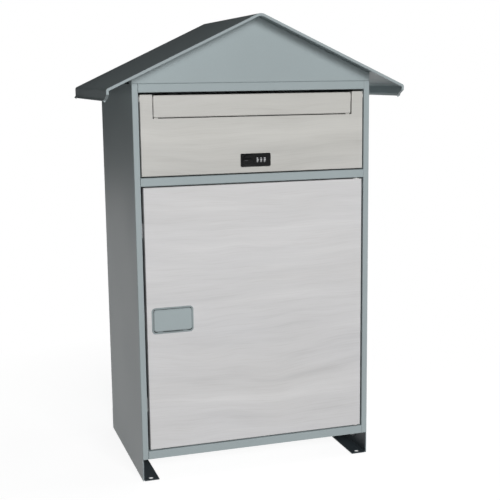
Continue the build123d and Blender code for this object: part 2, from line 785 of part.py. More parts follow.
stop_tab_x = flap_width / 2 - 6.0
flap_edge = 4.0  # depth of the flap's rounded edge

with BuildPart() as letter_door_panel:
    with BuildSketch(face_on(front)):
        with Locations((0, letter_centre_z)):
            Rectangle(2 * letter_half, letter_height)
    extrude(amount=-door_depth)
    fillet(letter_door_panel.faces().sort_by(Axis.Y)[0].edges(), radius=bend)
    offset(amount=-sheet, openings=letter_door_panel.faces().sort_by(Axis.Y)[-1])
    with BuildSketch(face_on(front + door_depth - sheet)):
        with Locations((0, letter_centre_z)):
            Rectangle(2 * letter_half, letter_height)
        with Locations((0, letter_low + door_return)):
            Rectangle(2 * (letter_half - door_return), letter_height, align=(Align.CENTER, Align.MIN), mode=Mode.SUBTRACT)
    extrude(amount=-sheet)
    with BuildSketch(face_on(front)):
        with Locations((0, notch_low)):
            Rectangle(2 * notch_half, letter_height, align=(Align.CENTER, Align.MIN))
    extrude(amount=-door_depth, mode=Mode.SUBTRACT)
    for side in (-1, 1):
        with Locations((side * notch_half, front, notch_low - sheet)):
            cheek_align = (Align.MIN if side > 0 else Align.MAX, Align.MIN, Align.MIN)
            Box(sheet, slot_lip, letter_high - notch_low, align=cheek_align)
    with Locations((0, front, notch_low)):
        Box(2 * notch_half, slot_lip, sheet, align=(Align.CENTER, Align.MIN, Align.MAX))
    for side in (-1, 1):
        with Locations((side * stop_tab_x, front + flap_edge + 0.2, notch_low - sheet)):
            Box(stop_tab_width, sheet, stop_tab_height + sheet, align=(Align.CENTER, Align.MIN, Align.MIN))
        with Locations(facing(side * (notch_half - fit), rod_y, rod_z, (-side, 0, 0))):
            Hole(rod_radius + 0.2, depth=3 * sheet)
        with Locations(facing(side * letter_half, rod_y, rod_z, (side, 0, 0))):
            Hole(rod_bush_outer, depth=2 * sheet)
    with Locations(facing(barrel_x, front, lock_z, (0, -1, 0))):
        Hole(barrel_radius + 0.15, depth=2 * sheet)
    with BuildSketch(face_on(front)):
        with Locations((dial_case_x, lock_z)):
            Rectangle(dial_case_width + 2 * fit, dial_case_height + 2 * fit)
    extrude(amount=-2 * sheet, mode=Mode.SUBTRACT)
finish(letter_door_panel, "letter_door_panel")

with BuildPart() as letter_door_bushes:
    for side in (-1, 1):
        with Locations(facing(side * letter_half, rod_y, rod_z, (side, 0, 0))):
            Cylinder(rod_bush_outer, 4.0, align=(Align.CENTER, Align.CENTER, Align.MAX))
            Cylinder(5.5, 1.0, align=(Align.CENTER, Align.CENTER, Align.MIN))
    for side in (-1, 1):
        with Locations(facing(side * (letter_half + 1.0), rod_y, rod_z, (side, 0, 0))):
            Hole(rod_radius + bush_clearance, depth=5.0)
finish(letter_door_bushes, "letter_door_bushes")

rod_half = opening_half + 4.0
with BuildPart() as letter_door_rod:
    with Locations(facing(0, rod_y, rod_z, (1, 0, 0))):
        Cylinder(rod_radius, 2 * rod_half)
finish(letter_door_rod, "letter_door_rod")

with BuildPart() as rod_clips:
    for side in (-1, 1):
        with Locations(facing(side * (rod_half - 1.0), rod_y, rod_z, (side, 0, 0))):
            Cylinder(4.5, 1.6)
            Hole(rod_radius, depth=4.0)
finish(rod_clips, "rod_clips")

ear_depth = 11.5
ear_drop = 16.0
ear_xs = [-70.0, 70.0]
with BuildPart() as letter_flap:
    flap_half = flap_width / 2
    flap_centre_z = (flap_low + flap_high) / 2
    with BuildSketch(face_on(front)):
        with Locations((0, flap_centre_z)):
            RectangleRounded(flap_width, flap_height, 3.0)
    extrude(amount=-flap_edge)
    fillet(letter_flap.faces().sort_by(Axis.Y)[0].edges(), radius=2.9)
    offset(amount=-sheet, openings=letter_flap.faces().sort_by(Axis.Y)[-1])
    ear_places = [(x, Align.CENTER) for x in ear_xs] + [(-flap_half, Align.MIN), (flap_half, Align.MAX)]
    for x, side_align in ear_places:
        with Locations((x, front + 3.0, flap_high - 3.0)):
            Box(sheet, ear_depth - 3.0, ear_drop, align=(side_align, Align.MIN, Align.MAX))
        with Locations((x, front + sheet, flap_high - 3.0)):
            Box(sheet, 3.0, ear_drop, align=(side_align, Align.MIN, Align.MAX))
    with Locations(facing(flap_half, rod_y, rod_z, (1, 0, 0))):
        Hole(rod_radius + bush_clearance, depth=flap_width)
finish(letter_flap, "letter_flap")

# ---- Combination lock ----
spindle_radius = 4.0
lock_face = front - lock_proud
barrel_length = 16.0
cam_face = front + 20.0
cam_thickness = 2.5

with BuildPart() as lock_housing:
    with BuildSketch(face_on(lock_face)):
        with Locations((lock_x, lock_z)):
            RectangleRounded(lock_width, lock_height, 2.5)
    extrude(amount=-lock_proud)
    chamfer(lock_housing.faces().sort_by(Axis.Y)[0].edges(), length=1.8)
    with BuildSketch(face_on(front)):
        with Locations((barrel_x, lock_z)):
            Circle(barrel_radius)
    extrude(amount=-barrel_length)
    with BuildSketch(face_on(front)):
        with Locations((dial_case_x, lock_z)):
            Rectangle(dial_case_width, dial_case_height)
    extrude(amount=-(dial_y - front + pocket_radius + dial_case_wall))
    for x in dial_xs:
        with Locations(facing(x, dial_y, lock_z, (1, 0, 0))):
            Cylinder(pocket_radius, dial_width + 0.5, mode=Mode.SUBTRACT)
    with Locations(facing(dial_case_x + shaft_length / 2, dial_y, lock_z, (1, 0, 0))):
        Hole(dial_shaft_radius, depth=shaft_length)
    with Locations(facing(barrel_x, lock_face, lock_z, (0, -1, 0))):
        Hole(spindle_radius + bush_clearance, depth=lock_proud + barrel_length + 1.0)
finish(lock_housing, "lock_housing")

with BuildPart() as dial_shaft:
    with Locations(facing(dial_case_x, dial_y, lock_z, (1, 0, 0))):
        Cylinder(dial_shaft_radius, shaft_length)
finish(dial_shaft, "dial_shaft")

digit_count = 10
for x, dial_name in zip(dial_xs, ("left_dial", "middle_dial", "right_dial")):
    with BuildPart() as dial:
        with BuildSketch(across(x - dial_width / 2)):
            with Locations((dial_y, lock_z)):
                Circle(dial_radius)
                Circle(dial_shaft_radius + bush_clearance, mode=Mode.SUBTRACT)
                with PolarLocations(dial_radius, digit_count, start_angle=180 / digit_count):
                    Circle(0.6, mode=Mode.SUBTRACT)
        extrude(amount=dial_width)
    finish(dial, dial_name)

with BuildPart() as lock_nut:
    with BuildSketch(face_on(front + sheet)):
        with Locations((barrel_x, lock_z)):
            RegularPolygon(12.0, 6, major_radius=False)
            Circle(barrel_radius, mode=Mode.SUBTRACT)
    extrude(amount=-4.0)
finish(lock_nut, "lock_nut")

knob_radius = 11.0
knob_base = 2.0
grip_height = 5.0
grip_width = 7.0
knob_gap = 0.3
square_side = 5.6
with BuildPart() as lock_knob:
    with BuildSketch(face_on(lock_face - knob_gap)):
        with Locations((barrel_x, lock_z)):
            Circle(knob_radius)
    extrude(amount=knob_base)
    chamfer(lock_knob.faces().sort_by(Axis.Y)[0].edges(), length=0.8)
    with BuildSketch(face_on(lock_face - knob_gap - knob_base)):
        with Locations((barrel_x, lock_z)):
            SlotOverall(2 * knob_radius - 2.5, grip_width)
    extrude(amount=grip_height - knob_base)
    fillet(lock_knob.faces().sort_by(Axis.Y)[0].edges(), radius=1.0)
    with BuildSketch(face_on(lock_face - knob_gap)):
        with Locations((barrel_x, lock_z)):
            Circle(spindle_radius)
    extrude(amount=-(cam_face - lock_face + knob_gap))
    with BuildSketch(face_on(cam_face)):
        with Locations((barrel_x, lock_z)):
            Rectangle(square_side, square_side)
    extrude(amount=-cam_thickness)
    with Locations(facing(barrel_x, cam_face + cam_thickness, lock_z, (0, 1, 0))):
        Hole(1.6, depth=9.0)
finish(lock_knob, "lock_knob")

cam_length = 38.0
cam_width = 14.0
with BuildPart() as lock_cam:
    with BuildSketch(face_on(cam_face)):
        with Locations((barrel_x, lock_z)):
            Circle(cam_width / 2)
        with Locations((barrel_x - cam_length / 2, lock_z)):
            Rectangle(cam_length, cam_width)
        with Locations((barrel_x, lock_z)):
            Rectangle(square_side, square_side, mode=Mode.SUBTRACT)
    extrude(amount=-cam_thickness)
    cam_end = lock_cam.edges().filter_by(Axis.Y).group_by(Axis.X)[0]
    fillet(cam_end, radius=3.0)
finish(lock_cam, "lock_cam")

with BuildPart() as cam_screw:
    with Locations(facing(barrel_x, cam_face + cam_thickness, lock_z, (0, 1, 0))):
        Cylinder(4.5, 2.2, align=(Align.CENTER, Align.CENTER, Align.MIN))
        Cylinder(1.6, 8.0, align=(Align.CENTER, Align.CENTER, Align.MAX))
    fillet(cam_screw.edges().filter_by(GeomType.CIRCLE).sort_by(Axis.Y)[-1], radius=0.9)
finish(cam_screw, "cam_screw")

os.makedirs("parts", exist_ok=True)
for part in nodes:
    export_step(part, f"parts/{part.label}.step")
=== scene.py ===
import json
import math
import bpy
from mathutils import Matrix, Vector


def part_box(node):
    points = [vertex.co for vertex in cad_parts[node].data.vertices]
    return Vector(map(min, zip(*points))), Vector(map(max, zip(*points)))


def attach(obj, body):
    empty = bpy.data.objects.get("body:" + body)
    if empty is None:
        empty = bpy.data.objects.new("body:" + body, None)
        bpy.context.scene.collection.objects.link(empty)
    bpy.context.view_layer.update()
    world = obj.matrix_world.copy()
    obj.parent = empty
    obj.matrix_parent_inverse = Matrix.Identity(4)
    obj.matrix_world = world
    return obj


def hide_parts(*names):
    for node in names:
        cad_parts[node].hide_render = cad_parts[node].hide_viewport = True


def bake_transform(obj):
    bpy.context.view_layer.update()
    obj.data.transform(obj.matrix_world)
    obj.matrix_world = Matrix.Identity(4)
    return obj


bl_info = {
    "name": "Parcel Drop Box",
    "version": (1, 0, 0),
    "blender": (4, 5, 0),
    "location": "3D Viewport > Sidebar > Parcel Box",
    "description": "Builds the finishes and small hardware of a gabled steel parcel drop box",
    "category": "Add Mesh",
}

import bmesh
import bpy
from bpy.props import FloatProperty, FloatVectorProperty, IntProperty, PointerProperty
from mathutils import Matrix, Vector

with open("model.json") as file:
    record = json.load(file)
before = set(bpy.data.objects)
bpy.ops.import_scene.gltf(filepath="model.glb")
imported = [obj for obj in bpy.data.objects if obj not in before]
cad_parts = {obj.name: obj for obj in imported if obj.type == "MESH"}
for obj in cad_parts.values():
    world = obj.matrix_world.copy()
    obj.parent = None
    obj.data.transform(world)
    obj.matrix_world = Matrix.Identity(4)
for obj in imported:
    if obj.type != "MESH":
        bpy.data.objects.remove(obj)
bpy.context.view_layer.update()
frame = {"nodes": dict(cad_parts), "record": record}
SHARP = math.radians(32)  # edges that turn by more are shaded as creases
MM = 0.001
FLOOR_RADIUS = 6.0  # metres
DIAL_DIGITS = 10
M5_RADIUS = 2.5 * MM
M5_NUT = (8.0 * MM, 4.0 * MM, 2.45 * MM)  # across flats, height, radius of the bore
PAN_HEAD = 4.5 * MM  # radius of the larger screw heads


def node_middle(name):
    """Middle of a CAD node's box, in metres."""
    low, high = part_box(name)
    return (Vector(low) + Vector(high)) / 2


# ---- Settings ----
def size(name, default, description):
    return FloatProperty(
        name=name, description=description, default=default, min=0.0, unit="LENGTH", precision=5
    )


def colour(name, default, description):
    return FloatVectorProperty(
        name=name,
        description=description,
        default=default,
        size=3,
        subtype="COLOR",
        min=0.0,
        max=1.0,
    )


class BoxSizes(bpy.types.PropertyGroup):
    digit_height: size("Digit height", 0.0034, "Height of the numerals on the lock's dials")
    digit_depth: size("Digit depth", 0.00022, "How far the numerals stand into and out of a dial")
    rim_width: size("Dial rim", 0.0011, "Width of the raised rim around the lock's dials")
    rim_height: size("Dial rim height", 0.0006, "How far that rim stands proud of the lock")
    wire: size("Spring wire", 0.0008, "Wire diameter of the handle's spring")
    spring_turns: IntProperty(
        name="Spring turns",
        description="Whole turns of the handle's spring",
        default=9,
        min=2,
        max=12,
    )
    thread_pitch: size("Thread pitch", 0.0008, "Pitch of the threads on studs and screws")
    knurls: IntProperty(
        name="Knurls", description="Flutes around the drop bolt's knob", default=28, min=8, max=60
    )


class BoxColours(bpy.types.PropertyGroup):
    paint: colour("Frame paint", (0.375, 0.433, 0.445), "Grey powder coat of the body and roof")
    letter_film: colour("Letter door film", (0.611, 0.605, 0.579), "Pale wood film, upper door")
    parcel_film: colour("Parcel door film", (0.699, 0.696, 0.706), "Pale wood film, lower door")
    foot_paint: colour("Foot paint", (0.05, 0.064, 0.073), "Dark powder coat of the feet")
    lock_plastic: colour("Lock plastic", (0.004, 0.004, 0.0045), "Black plastic of the lock")
    zinc: colour("Zinc", (0.50, 0.51, 0.52), "Zinc plate of the hardware")


class StageSettings(bpy.types.PropertyGroup):
    key_power: FloatProperty(
        name="Key light", description="Power of the large front light", default=158.0, unit="POWER"
    )
    fill: FloatProperty(
        name="Fill", description="Strength of the light from all round", default=0.03, min=0.0
    )
    lens: FloatProperty(
        name="Lens", description="Focal length of the camera in millimetres", default=73.17
    )


# ---- Materials ----
class Recipe:
    """A material in the making: adds nodes and joins their sockets."""

    def __init__(self, name):
        self.made = bpy.data.materials.new(name)
        self.made.use_nodes = True
        self.tree = self.made.node_tree
        self.shader = self.tree.nodes["Principled BSDF"]

    def node(self, kind, **settings):
        made = self.tree.nodes.new(kind)
        for key, value in settings.items():
            if hasattr(made, key):
                setattr(made, key, value)
            else:
                made.inputs[key.replace("_", " ").title()].default_value = value
        return made

    def join(self, source, target):
        self.tree.links.new(source, target)

    def place(self, scale=(1, 1, 1), rotation=(0, 0, 0), location=(0, 0, 0)):
        """Object coordinates, stretched and turned."""
        coordinates = self.node("ShaderNodeTexCoord")
        mapping = self.node("ShaderNodeMapping")
        mapping.inputs["Scale"].default_value = scale
        mapping.inputs["Rotation"].default_value = rotation
        mapping.inputs["Location"].default_value = location
        self.join(coordinates.outputs["Object"], mapping.inputs["Vector"])
        return mapping.outputs["Vector"]

    def noise(self, vector, scale, detail=4.0, roughness=0.5):
        made = self.node("ShaderNodeTexNoise", scale=scale, detail=detail, roughness=roughness)
        self.join(vector, made.inputs["Vector"])
        return made.outputs["Fac"]

    def ramp(self, value, *stops):
        made = self.node("ShaderNodeValToRGB")
        line = made.color_ramp.elements
        while len(line) < len(stops):
            line.new(0.5)
        for element, (position, shade) in zip(line, stops):
            element.position = position
            element.color = (*shade, 1.0) if len(shade) == 3 else shade
        self.join(value, made.inputs["Fac"])
        return made.outputs["Color"]

    def multiply(self, one, other, amount=1.0):
        made = self.node("ShaderNodeMix", data_type="RGBA", blend_type="MULTIPLY")
        made.inputs["Factor"].default_value = amount
        self.join(one, made.inputs["A"])
        self.join(other, made.inputs["B"])
        return made.outputs["Result"]

    def span(self, value, low, high):
        made = self.node("ShaderNodeMapRange")
        made.inputs["To Min"].default_value = low
        made.inputs["To Max"].default_value = high
        self.join(value, made.inputs["Value"])
        return made.outputs["Result"]

    def bump(self, height, distance, strength=1.0, under=None):
        made = self.node("ShaderNodeBump")
        made.inputs["Distance"].default_value = distance
        made.inputs["Strength"].default_value = strength
        self.join(height, made.inputs["Height"])
        if under is not None:
            self.join(under, made.inputs["Normal"])
        return made.outputs["Normal"]

    def finish(self, base=None, roughness=None, normal=None, **values):
        for socket, source in (("Base Color", base), ("Roughness", roughness), ("Normal", normal)):
            if source is not None:
                self.join(source, self.shader.inputs[socket])
        for key, value in values.items():
            socket = key.replace("_", " ").title().replace("Ior", "IOR")
            self.shader.inputs[socket].default_value = value
        return self.made


def shade(rgb, factor):
    return tuple(min(1.0, channel * factor) for channel in rgb)


def powder_coat(name, rgb, rough=0.42):
    """Baked powder coat: fine orange peel, faint clouding and a few lighter specks."""
    recipe = Recipe(name)
    near = recipe.place()
    cloud = recipe.noise(near, 5.0, detail=3.0)
    tone = recipe.ramp(cloud, (0.3, shade(rgb, 0.965)), (0.7, shade(rgb, 1.035)))
    fine = recipe.noise(near, 1400.0, detail=2.0, roughness=0.6)
    specks = recipe.ramp(fine, (0.25, (0.94, 0.94, 0.94)), (0.55, (1.0, 1.0, 1.0)))
    peel = recipe.noise(near, 520.0, detail=2.0)
    dents = recipe.bump(recipe.noise(near, 9.0, detail=1.0), 0.0004, 0.25)
    return recipe.finish(
        base=recipe.multiply(tone, specks),
        roughness=recipe.span(cloud, rough - 0.05, rough + 0.06),
        normal=recipe.bump(peel, 0.00006, 0.55, under=dents),
        specular_ior_level=0.4,
    )


def wood_film(name, rgb, offset):
    """Pale printed wood film on steel: long level grain, slow arches and fine pores."""
    recipe = Recipe(name)
    warp = recipe.noise(recipe.place((1.1, 1.0, 2.2), location=offset), 2.1, detail=2.0)
    along = recipe.node("ShaderNodeCombineXYZ")
    recipe.join(recipe.span(warp, -0.05, 0.05), along.inputs["Z"])
    bent = recipe.node("ShaderNodeVectorMath", operation="ADD")
    recipe.join(recipe.place(location=offset), bent.inputs[0])
    recipe.join(along.outputs["Vector"], bent.inputs[1])
    stretch = recipe.node("ShaderNodeMapping")
    stretch.inputs["Scale"].default_value = (0.8, 1.0, 11.0)
    recipe.join(bent.outputs["Vector"], stretch.inputs["Vector"])
    broad = recipe.noise(stretch.outputs["Vector"], 3.2, detail=4.0, roughness=0.55)
    grain = recipe.ramp(
        broad,
        (0.26, shade(rgb, 0.865)),
        (0.42, shade(rgb, 0.965)),
        (0.54, rgb),
        (0.76, shade(rgb, 1.09)),
    )
    thread = recipe.node("ShaderNodeMapping")
    thread.inputs["Scale"].default_value = (6.0, 1.0, 420.0)
    recipe.join(bent.outputs["Vector"], thread.inputs["Vector"])
    pores = recipe.noise(thread.outputs["Vector"], 2.0, detail=3.0, roughness=0.7)
    streaks = recipe.ramp(pores, (0.28, (0.93, 0.925, 0.915)), (0.5, (1.0, 1.0, 1.0)))
    patch = recipe.noise(recipe.place((1.0, 1.0, 2.5), location=offset), 3.0, detail=1.0)
    tint = recipe.ramp(patch, (0.3, (0.985, 0.98, 0.965)), (0.7, (1.0, 1.0, 1.0)))
    both = recipe.multiply(grain, streaks)
    return recipe.finish(
        base=recipe.multiply(both, tint),
        roughness=recipe.span(broad, 0.36, 0.46),
        normal=recipe.bump(pores, 0.00004, 0.5),
    )


def moulded(name, rgb, rough=0.35, gloss=0.5):
    """Moulded plastic with a fine spark-eroded grain."""
    recipe = Recipe(name)
    near = recipe.place()
    cloud = recipe.noise(near, 60.0, detail=2.0)
    grain = recipe.noise(near, 2600.0, detail=2.0)
    return recipe.finish(
        base=recipe.ramp(cloud, (0.3, shade(rgb, 0.88)), (0.7, shade(rgb, 1.12))),
        roughness=recipe.span(grain, rough - 0.06, rough + 0.08),
        normal=recipe.bump(grain, 0.00003, 0.5),
        specular_ior_level=gloss,
    )


def zinc_plate(name, rgb, rough=0.36, stretch=(1, 1, 1)):
    """Zinc-plated steel: cloudy plate with drawn scratches."""
    recipe = Recipe(name)
    near = recipe.place()
    cloud = recipe.noise(near, 90.0, detail=4.0, roughness=0.6)
    lines = recipe.noise(recipe.place(stretch), 700.0, detail=3.0)
    tone = recipe.ramp(cloud, (0.3, shade(rgb, 0.86)), (0.55, rgb), (0.75, shade(rgb, 1.08)))
    return recipe.finish(
        base=tone,
        roughness=recipe.span(lines, rough - 0.08, rough + 0.14),
        normal=recipe.bump(lines, 0.00002, 0.6),
        metallic=1.0,
    )


def rubber(name):
    recipe = Recipe(name)
    grain = recipe.noise(recipe.place(), 1500.0, detail=3.0)
    return recipe.finish(
        base=recipe.ramp(grain, (0.3, (0.012, 0.012, 0.012)), (0.7, (0.026, 0.025, 0.024))),
        roughness=recipe.span(grain, 0.68, 0.85),
        normal=recipe.bump(grain, 0.00006, 0.6),
    )


def ink(name, rgb):
    """Printed or paint-filled marking, slightly uneven."""
    recipe = Recipe(name)
    grain = recipe.noise(recipe.place(), 1800.0, detail=2.0)
    return recipe.finish(
        base=recipe.ramp(grain, (0.25, shade(rgb, 0.85)), (0.6, rgb)),
        roughness=recipe.span(grain, 0.45, 0.6),
    )


def material(name):
    return bpy.data.materials[name]


# ---- Modelling ----
def copied(target, part, place):
    """Adds a finished bmesh to another at a place, and frees it."""
    mesh = bpy.data.meshes.new("part")
    part.to_mesh(mesh)
    part.free()
    mesh.transform(place)
    target.from_mesh(mesh)
    bpy.data.meshes.remove(mesh)


def facing(point, direction):
    """Place at a point whose local +Z looks along a direction."""
    turn = Vector((0, 0, 1)).rotation_difference(Vector(direction))
    return Matrix.Translation(point) @ turn.to_matrix().to_4x4()


def turned(profile, steps=32):
    """Closed shape turned round Z from (radius, height) points, first and last on the axis."""
    part = bmesh.new()
    line = [part.verts.new((radius, 0.0, height)) for radius, height in profile]
    edges = [part.edges.new(pair) for pair in zip(line, line[1:])]
    bmesh.ops.spin(
        part,
        geom=line + edges,
        cent=(0, 0, 0),
        axis=(0, 0, 1),
        angle=2 * math.pi,
        steps=steps,
        use_merge=True,
    )
    bmesh.ops.remove_doubles(part, verts=part.verts, dist=1e-7)
    bmesh.ops.recalc_face_normals(part, faces=part.faces)
    return part


def helix_ridge(radius, depth, pitch, length, steps=18):
    """Triangular thread ridge wound up the Z axis from height 0."""
    part = bmesh.new()
    loop = bmesh.ops.create_circle(part, cap_ends=True, segments=3, radius=depth)["verts"]
    bmesh.ops.rotate(part, verts=loop, cent=(0, 0, 0), matrix=Matrix.Rotation(math.pi / 2, 3, "X"))
    bmesh.ops.translate(part, verts=loop, vec=(radius, 0, depth))
    turns = max(1, int((length - 2 * depth) / pitch))
    bmesh.ops.spin(
        part,
        geom=part.verts[:] + part.edges[:] + part.faces[:],
        cent=(0, 0, 0),
        axis=(0, 0, 1),
        dvec=(0, 0, pitch / steps),
        angle=2 * math.pi * turns,
        steps=steps * turns,
    )
    bmesh.ops.recalc_face_normals(part, faces=part.faces)
    return part


def cross_head(radius, height, across, deep, cells=7):
    """Pan head with a cross recess, its bearing face at height 0."""
    part = bmesh.new()
    bmesh.ops.create_grid(part, x_segments=cells, y_segments=cells, size=across / 2)
    bmesh.ops.translate(part, verts=part.verts, vec=(0, 0, height))
    step = across / cells
    reach = step * (cells // 2 - 0.4)
    arms = [
        face
        for face in part.faces
        if min(abs(face.calc_center_median().x), abs(face.calc_center_median().y)) < step / 2
        and max(abs(face.calc_center_median().x), abs(face.calc_center_median().y)) < reach
    ]
    sunk = bmesh.ops.extrude_face_region(part, geom=arms)
    bmesh.ops.delete(part, geom=[face for face in arms if face.is_valid], context="FACES")
    floor = [item for item in sunk["geom"] if isinstance(item, bmesh.types.BMVert)]
    bmesh.ops.translate(part, verts=floor, vec=(0, 0, -deep))
    bmesh.ops.scale(part, verts=floor, vec=(0.8, 0.8, 1.0))
    rim = [edge for edge in part.edges if edge.is_boundary]
    circle = bmesh.ops.create_circle(part, segments=4 * cells, radius=radius * 0.78)["verts"]
    bmesh.ops.rotate(
        part, verts=circle, cent=(0, 0, 0), matrix=Matrix.Rotation(math.pi / (4 * cells), 3, "Z")
    )
    bmesh.ops.translate(part, verts=circle, vec=(0, 0, height))
    edges = {edge for vert in circle for edge in vert.link_edges}
    bmesh.ops.bridge_loops(part, edges=rim + list(edges))
    loop = [edge for edge in part.edges if edge.is_boundary]
    for scale, drop in ((1.18, 0.18), (1.08, 0.3), (1.006, 0.52)):
        grown = bmesh.ops.extrude_edge_only(part, edges=loop)["geom"]
        verts = [item for item in grown if isinstance(item, bmesh.types.BMVert)]
        loop = [item for item in grown if isinstance(item, bmesh.types.BMEdge)]
        loop = [edge for edge in loop if edge.is_boundary]
        bmesh.ops.scale(part, verts=verts, vec=(scale, scale, 1.0))
        bmesh.ops.translate(part, verts=verts, vec=(0, 0, -drop * height))
    bmesh.ops.holes_fill(part, edges=loop, sides=0)
    bmesh.ops.recalc_face_normals(part, faces=part.faces)
    return part


def hexagon_nut(flats, height, bore):
    """Hexagon nut with chamfered corners, standing on Z = 0."""
    part = bmesh.new()
    corner = flats / math.sqrt(3)
    bmesh.ops.create_circle(part, segments=6, radius=corner)
    bmesh.ops.subdivide_edges(part, edges=part.edges[:], cuts=3)
    bmesh.ops.create_circle(part, segments=24, radius=bore)
    bmesh.ops.bridge_loops(part, edges=part.edges[:])
    lift = bmesh.ops.extrude_face_region(part, geom=part.faces[:])["geom"]
    top = [item for item in lift if isinstance(item, bmesh.types.BMVert)]
    bmesh.ops.translate(part, verts=top, vec=(0, 0, height))
    chamfer_start = flats / 2 * 1.03
    for vert in part.verts:
        away = vert.co.xy.length
        if away > chamfer_start:
            drop = (away - chamfer_start) * 0.6
            vert.co.z += drop if vert.co.z < height / 2 else -drop
    bmesh.ops.recalc_face_normals(part, faces=part.faces)
    return part


def piece(shape, name, finish, body, slot=None, stands_for=()):
    """Turns a bmesh into a finished object that rides on the CAD body named by body; any other body
    leaves it fixed in place.
    """
    for edge in shape.edges:
        if len(edge.link_faces) == 2 and edge.calc_face_angle() > SHARP:
            edge.smooth = False
    for face in shape.faces:
        face.smooth = True
    mesh = bpy.data.meshes.new(name)
    shape.to_mesh(mesh)
    shape.free()
    mesh.materials.append(material(finish))
    made = bpy.data.objects.new(name, mesh)
    bpy.context.scene.collection.objects.link(made)
    if isinstance(body, str):
        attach(made, body)
    else:
        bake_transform(made)
    if stands_for:
        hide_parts(*stands_for)
    return made


def ends_of(name):
    low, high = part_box(name)
    return Vector(low), Vector(high)


# ---- Operators ----
class MakeFinishes(bpy.types.Operator):
    """Make the materials and give every CAD piece its own"""

    bl_idname = "parcel_box.finishes"
    bl_label = "Finishes"

    def execute(self, context):
        shades = context.scene.parcel_box_colours
        paint = tuple(shades.paint)
        powder_coat("frame_paint", paint)
        # the roof takes the frame paint 3% darker: painted shade on the weakly lit roof
        powder_coat("roof_paint_shaded", shade(paint, 0.97), rough=0.4)
        powder_coat("handle_paint", shade(paint, 1.0), rough=0.36)
        # the shelf and ceiling panel take the frame paint 10% darker: painted shade inside the box
        powder_coat("inner_paint_shaded", shade(paint, 0.9), rough=0.5)
        # the handle's tray takes the frame paint 20% darker: painted shade in the handle's recess
        powder_coat("recess_paint_shaded", shade(paint, 0.8), rough=0.5)
        powder_coat("foot_paint", tuple(shades.foot_paint), rough=0.45)
        wood_film("letter_film", tuple(shades.letter_film), (0.0, 0.0, 0.31))
        wood_film("parcel_film", tuple(shades.parcel_film), (0.37, 0.0, 0.0))
        moulded("lock_plastic", tuple(shades.lock_plastic), rough=0.38, gloss=0.3)
        moulded("dial_plastic", (0.02, 0.02, 0.022), rough=0.25)
        moulded("catch_plastic", (0.03, 0.03, 0.032), rough=0.5)
        moulded("bearing_plastic", (0.62, 0.61, 0.57), rough=0.4)
        zinc_plate("zinc", tuple(shades.zinc))
        zinc_plate("drawn_steel", shade(tuple(shades.zinc), 0.9), rough=0.24, stretch=(1, 1, 0.02))
        zinc_plate("magnet_steel", (0.12, 0.12, 0.125), rough=0.45)
        rubber("rubber")
        ink("dial_ink", (0.74, 0.75, 0.76))
        ink("pointer_ink", (0.09, 0.09, 0.095))
        by_slot = {
            "grey_paint": "frame_paint",
            "black_paint": "foot_paint",
            "black_plastic": "catch_plastic",
            "dial_plastic": "dial_plastic",
            "bearing_plastic": "bearing_plastic",
            "rubber": "rubber",
            "magnet": "magnet_steel",
            "zinc_steel": "zinc",
        }
        by_node = {
            "roof": "roof_paint_shaded",
            "handle_plate": "handle_paint",
            "handle_tray": "recess_paint_shaded",
            "shelf": "inner_paint_shaded",
            "ceiling_panel": "inner_paint_shaded",
            "letter_door_panel": "letter_film",
            "letter_flap": "letter_film",
            "parcel_door_panel": "parcel_film",
            "lock_housing": "lock_plastic",
            "lock_knob": "lock_plastic",
            "letter_door_rod": "drawn_steel",
            "thrust_washer": "catch_plastic",
            "drop_bolt": "drawn_steel",
        }
        slots = {entry["node"]: entry["material_slot"] for entry in frame["record"]["subparts"]}
        for name, node in frame["nodes"].items():
            finish = material(by_node.get(name) or by_slot[slots[name]])
            for place in node.material_slots:
                place.material = finish
        return {"FINISHED"}


class MakeDialDigits(bpy.types.Operator):
    """Add the numerals 0 to 9 around each of the lock's dials"""

    bl_idname = "parcel_box.dial_digits"
    bl_label = "Dial digits"

    def execute(self, context):
        sizes = context.scene.parcel_box_sizes
        font_cap_height = 0.7  # of the size of the text
        thicken = 0.00012  # grows the outline of a numeral
        widen = (1.3, 1.0, 1.0)
        for body in ("left_dial", "middle_dial", "right_dial"):
            low, high = ends_of(body)
            middle = (low + high) / 2
            radius = (high.y - low.y) / 2
            shape = bmesh.new()
            for digit in range(DIAL_DIGITS):
                text = bpy.data.curves.new("digit", "FONT")
                text.body = str(digit)
                text.size = sizes.digit_height / font_cap_height
                text.extrude = sizes.digit_depth
                text.resolution_u = 3
                text.offset = thicken
                outline = bpy.data.objects.new("digit", text)
                mesh = bpy.data.meshes.new_from_object(outline)
                numeral = bmesh.new()
                numeral.from_mesh(mesh)
                bpy.data.objects.remove(outline)
                bpy.data.curves.remove(text)
                bpy.data.meshes.remove(mesh)
                behind = 0.9 * sizes.digit_depth
                rest = [cap for cap in numeral.faces if cap.calc_center_median().z < behind]
                bmesh.ops.delete(numeral, geom=rest, context="FACES")
                bmesh.ops.remove_doubles(numeral, verts=numeral.verts, dist=1e-6)
                xs = [vert.co.x for vert in numeral.verts]
                ys = [vert.co.y for vert in numeral.verts]
                centre = ((min(xs) + max(xs)) / 2, (min(ys) + max(ys)) / 2)
                start = (-centre[0], -centre[1], 0)
                bmesh.ops.translate(numeral, verts=numeral.verts, vec=start)
                bmesh.ops.scale(numeral, verts=numeral.verts, vec=widen)
                lift = bmesh.ops.extrude_face_region(numeral, geom=numeral.faces[:])["geom"]
                top = [item for item in lift if isinstance(item, bmesh.types.BMVert)]
                bmesh.ops.translate(numeral, verts=top, vec=(0, 0, -2 * sizes.digit_depth))
                bmesh.ops.recalc_face_normals(numeral, faces=numeral.faces)
                upright = Matrix.Rotation(math.pi / 2, 4, "X")
                out = Matrix.Translation((0, -radius, 0))
                round_dial = Matrix.Rotation(2 * math.pi * digit / DIAL_DIGITS, 4, "X")
                copied(shape, numeral, Matrix.Translation(middle) @ round_dial @ out @ upright)
            piece(shape, f"{body}_digits", "dial_ink", body, "dial_plastic")
        return {"FINISHED"}


